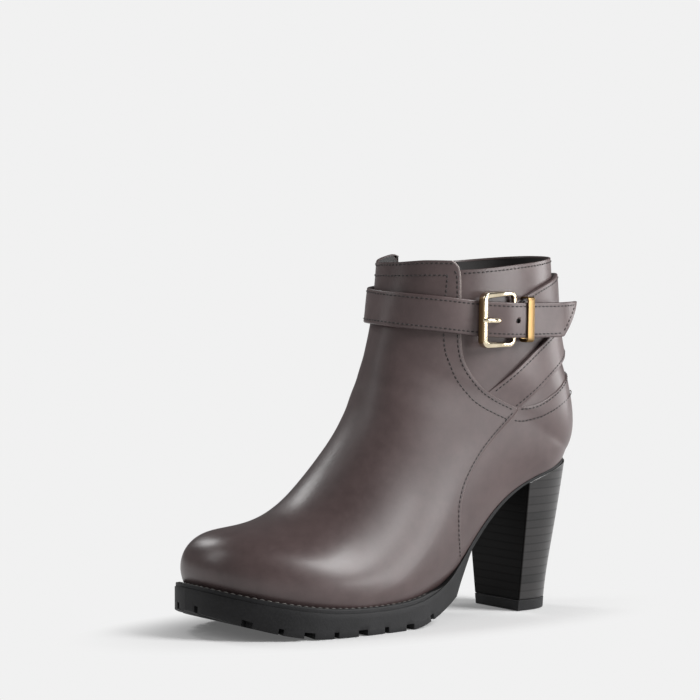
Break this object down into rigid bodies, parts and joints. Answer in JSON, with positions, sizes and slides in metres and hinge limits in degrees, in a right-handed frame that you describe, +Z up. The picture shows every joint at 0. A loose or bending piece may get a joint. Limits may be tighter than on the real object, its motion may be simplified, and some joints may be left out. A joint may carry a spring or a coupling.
{
  "type": "heeled ankle boot",
  "caption": "Taupe leather ankle boot with a lug rubber sole, a tall stacked heel and a wrapped ankle strap closed by a gold buckle on its outer side; worn on the left foot.",
  "frame": {"origin": "middle of the bounding box on the floor plane, where the heel and the forefoot rest", "axes": "+Z up, the toe points to -Y, +X is the outer side of the left foot, which carries the buckle"},
  "size_m": [0.0874, 0.2258, 0.182],
  "materials": {
    "black_rubber": "matt black moulded rubber",
    "welt_rubber": "matt black, stitched round its edge",
    "black_lining": "matt black lining cloth",
    "taupe_leather": "smooth taupe leather, soft gloss",
    "dark_stacked_leather": "dark stained stacked leather, satin, fine level lines",
    "top_piece_rubber": "matt black rubber",
    "strap_leather": "smooth taupe leather, soft gloss",
    "cross_strap_leather": "smooth taupe leather, soft gloss",
    "buckle_gold": "polished pale gold plating",
    "prong_gold": "polished pale gold plating",
    "keeper_gold": "brushed pale gold plating"
  },
  "bodies": {
    "root": {"outsole": "black_rubber", "welt": "welt_rubber", "insole": "black_lining", "upper": "taupe_leather", "heel_stack": "dark_stacked_leather", "heel_top_piece": "top_piece_rubber", "ankle_strap": "strap_leather", "buckle_strap": "cross_strap_leather", "buckle_frame": "buckle_gold", "buckle_prong": "prong_gold", "buckle_keeper": "keeper_gold"}
  },
  "joints": []
}
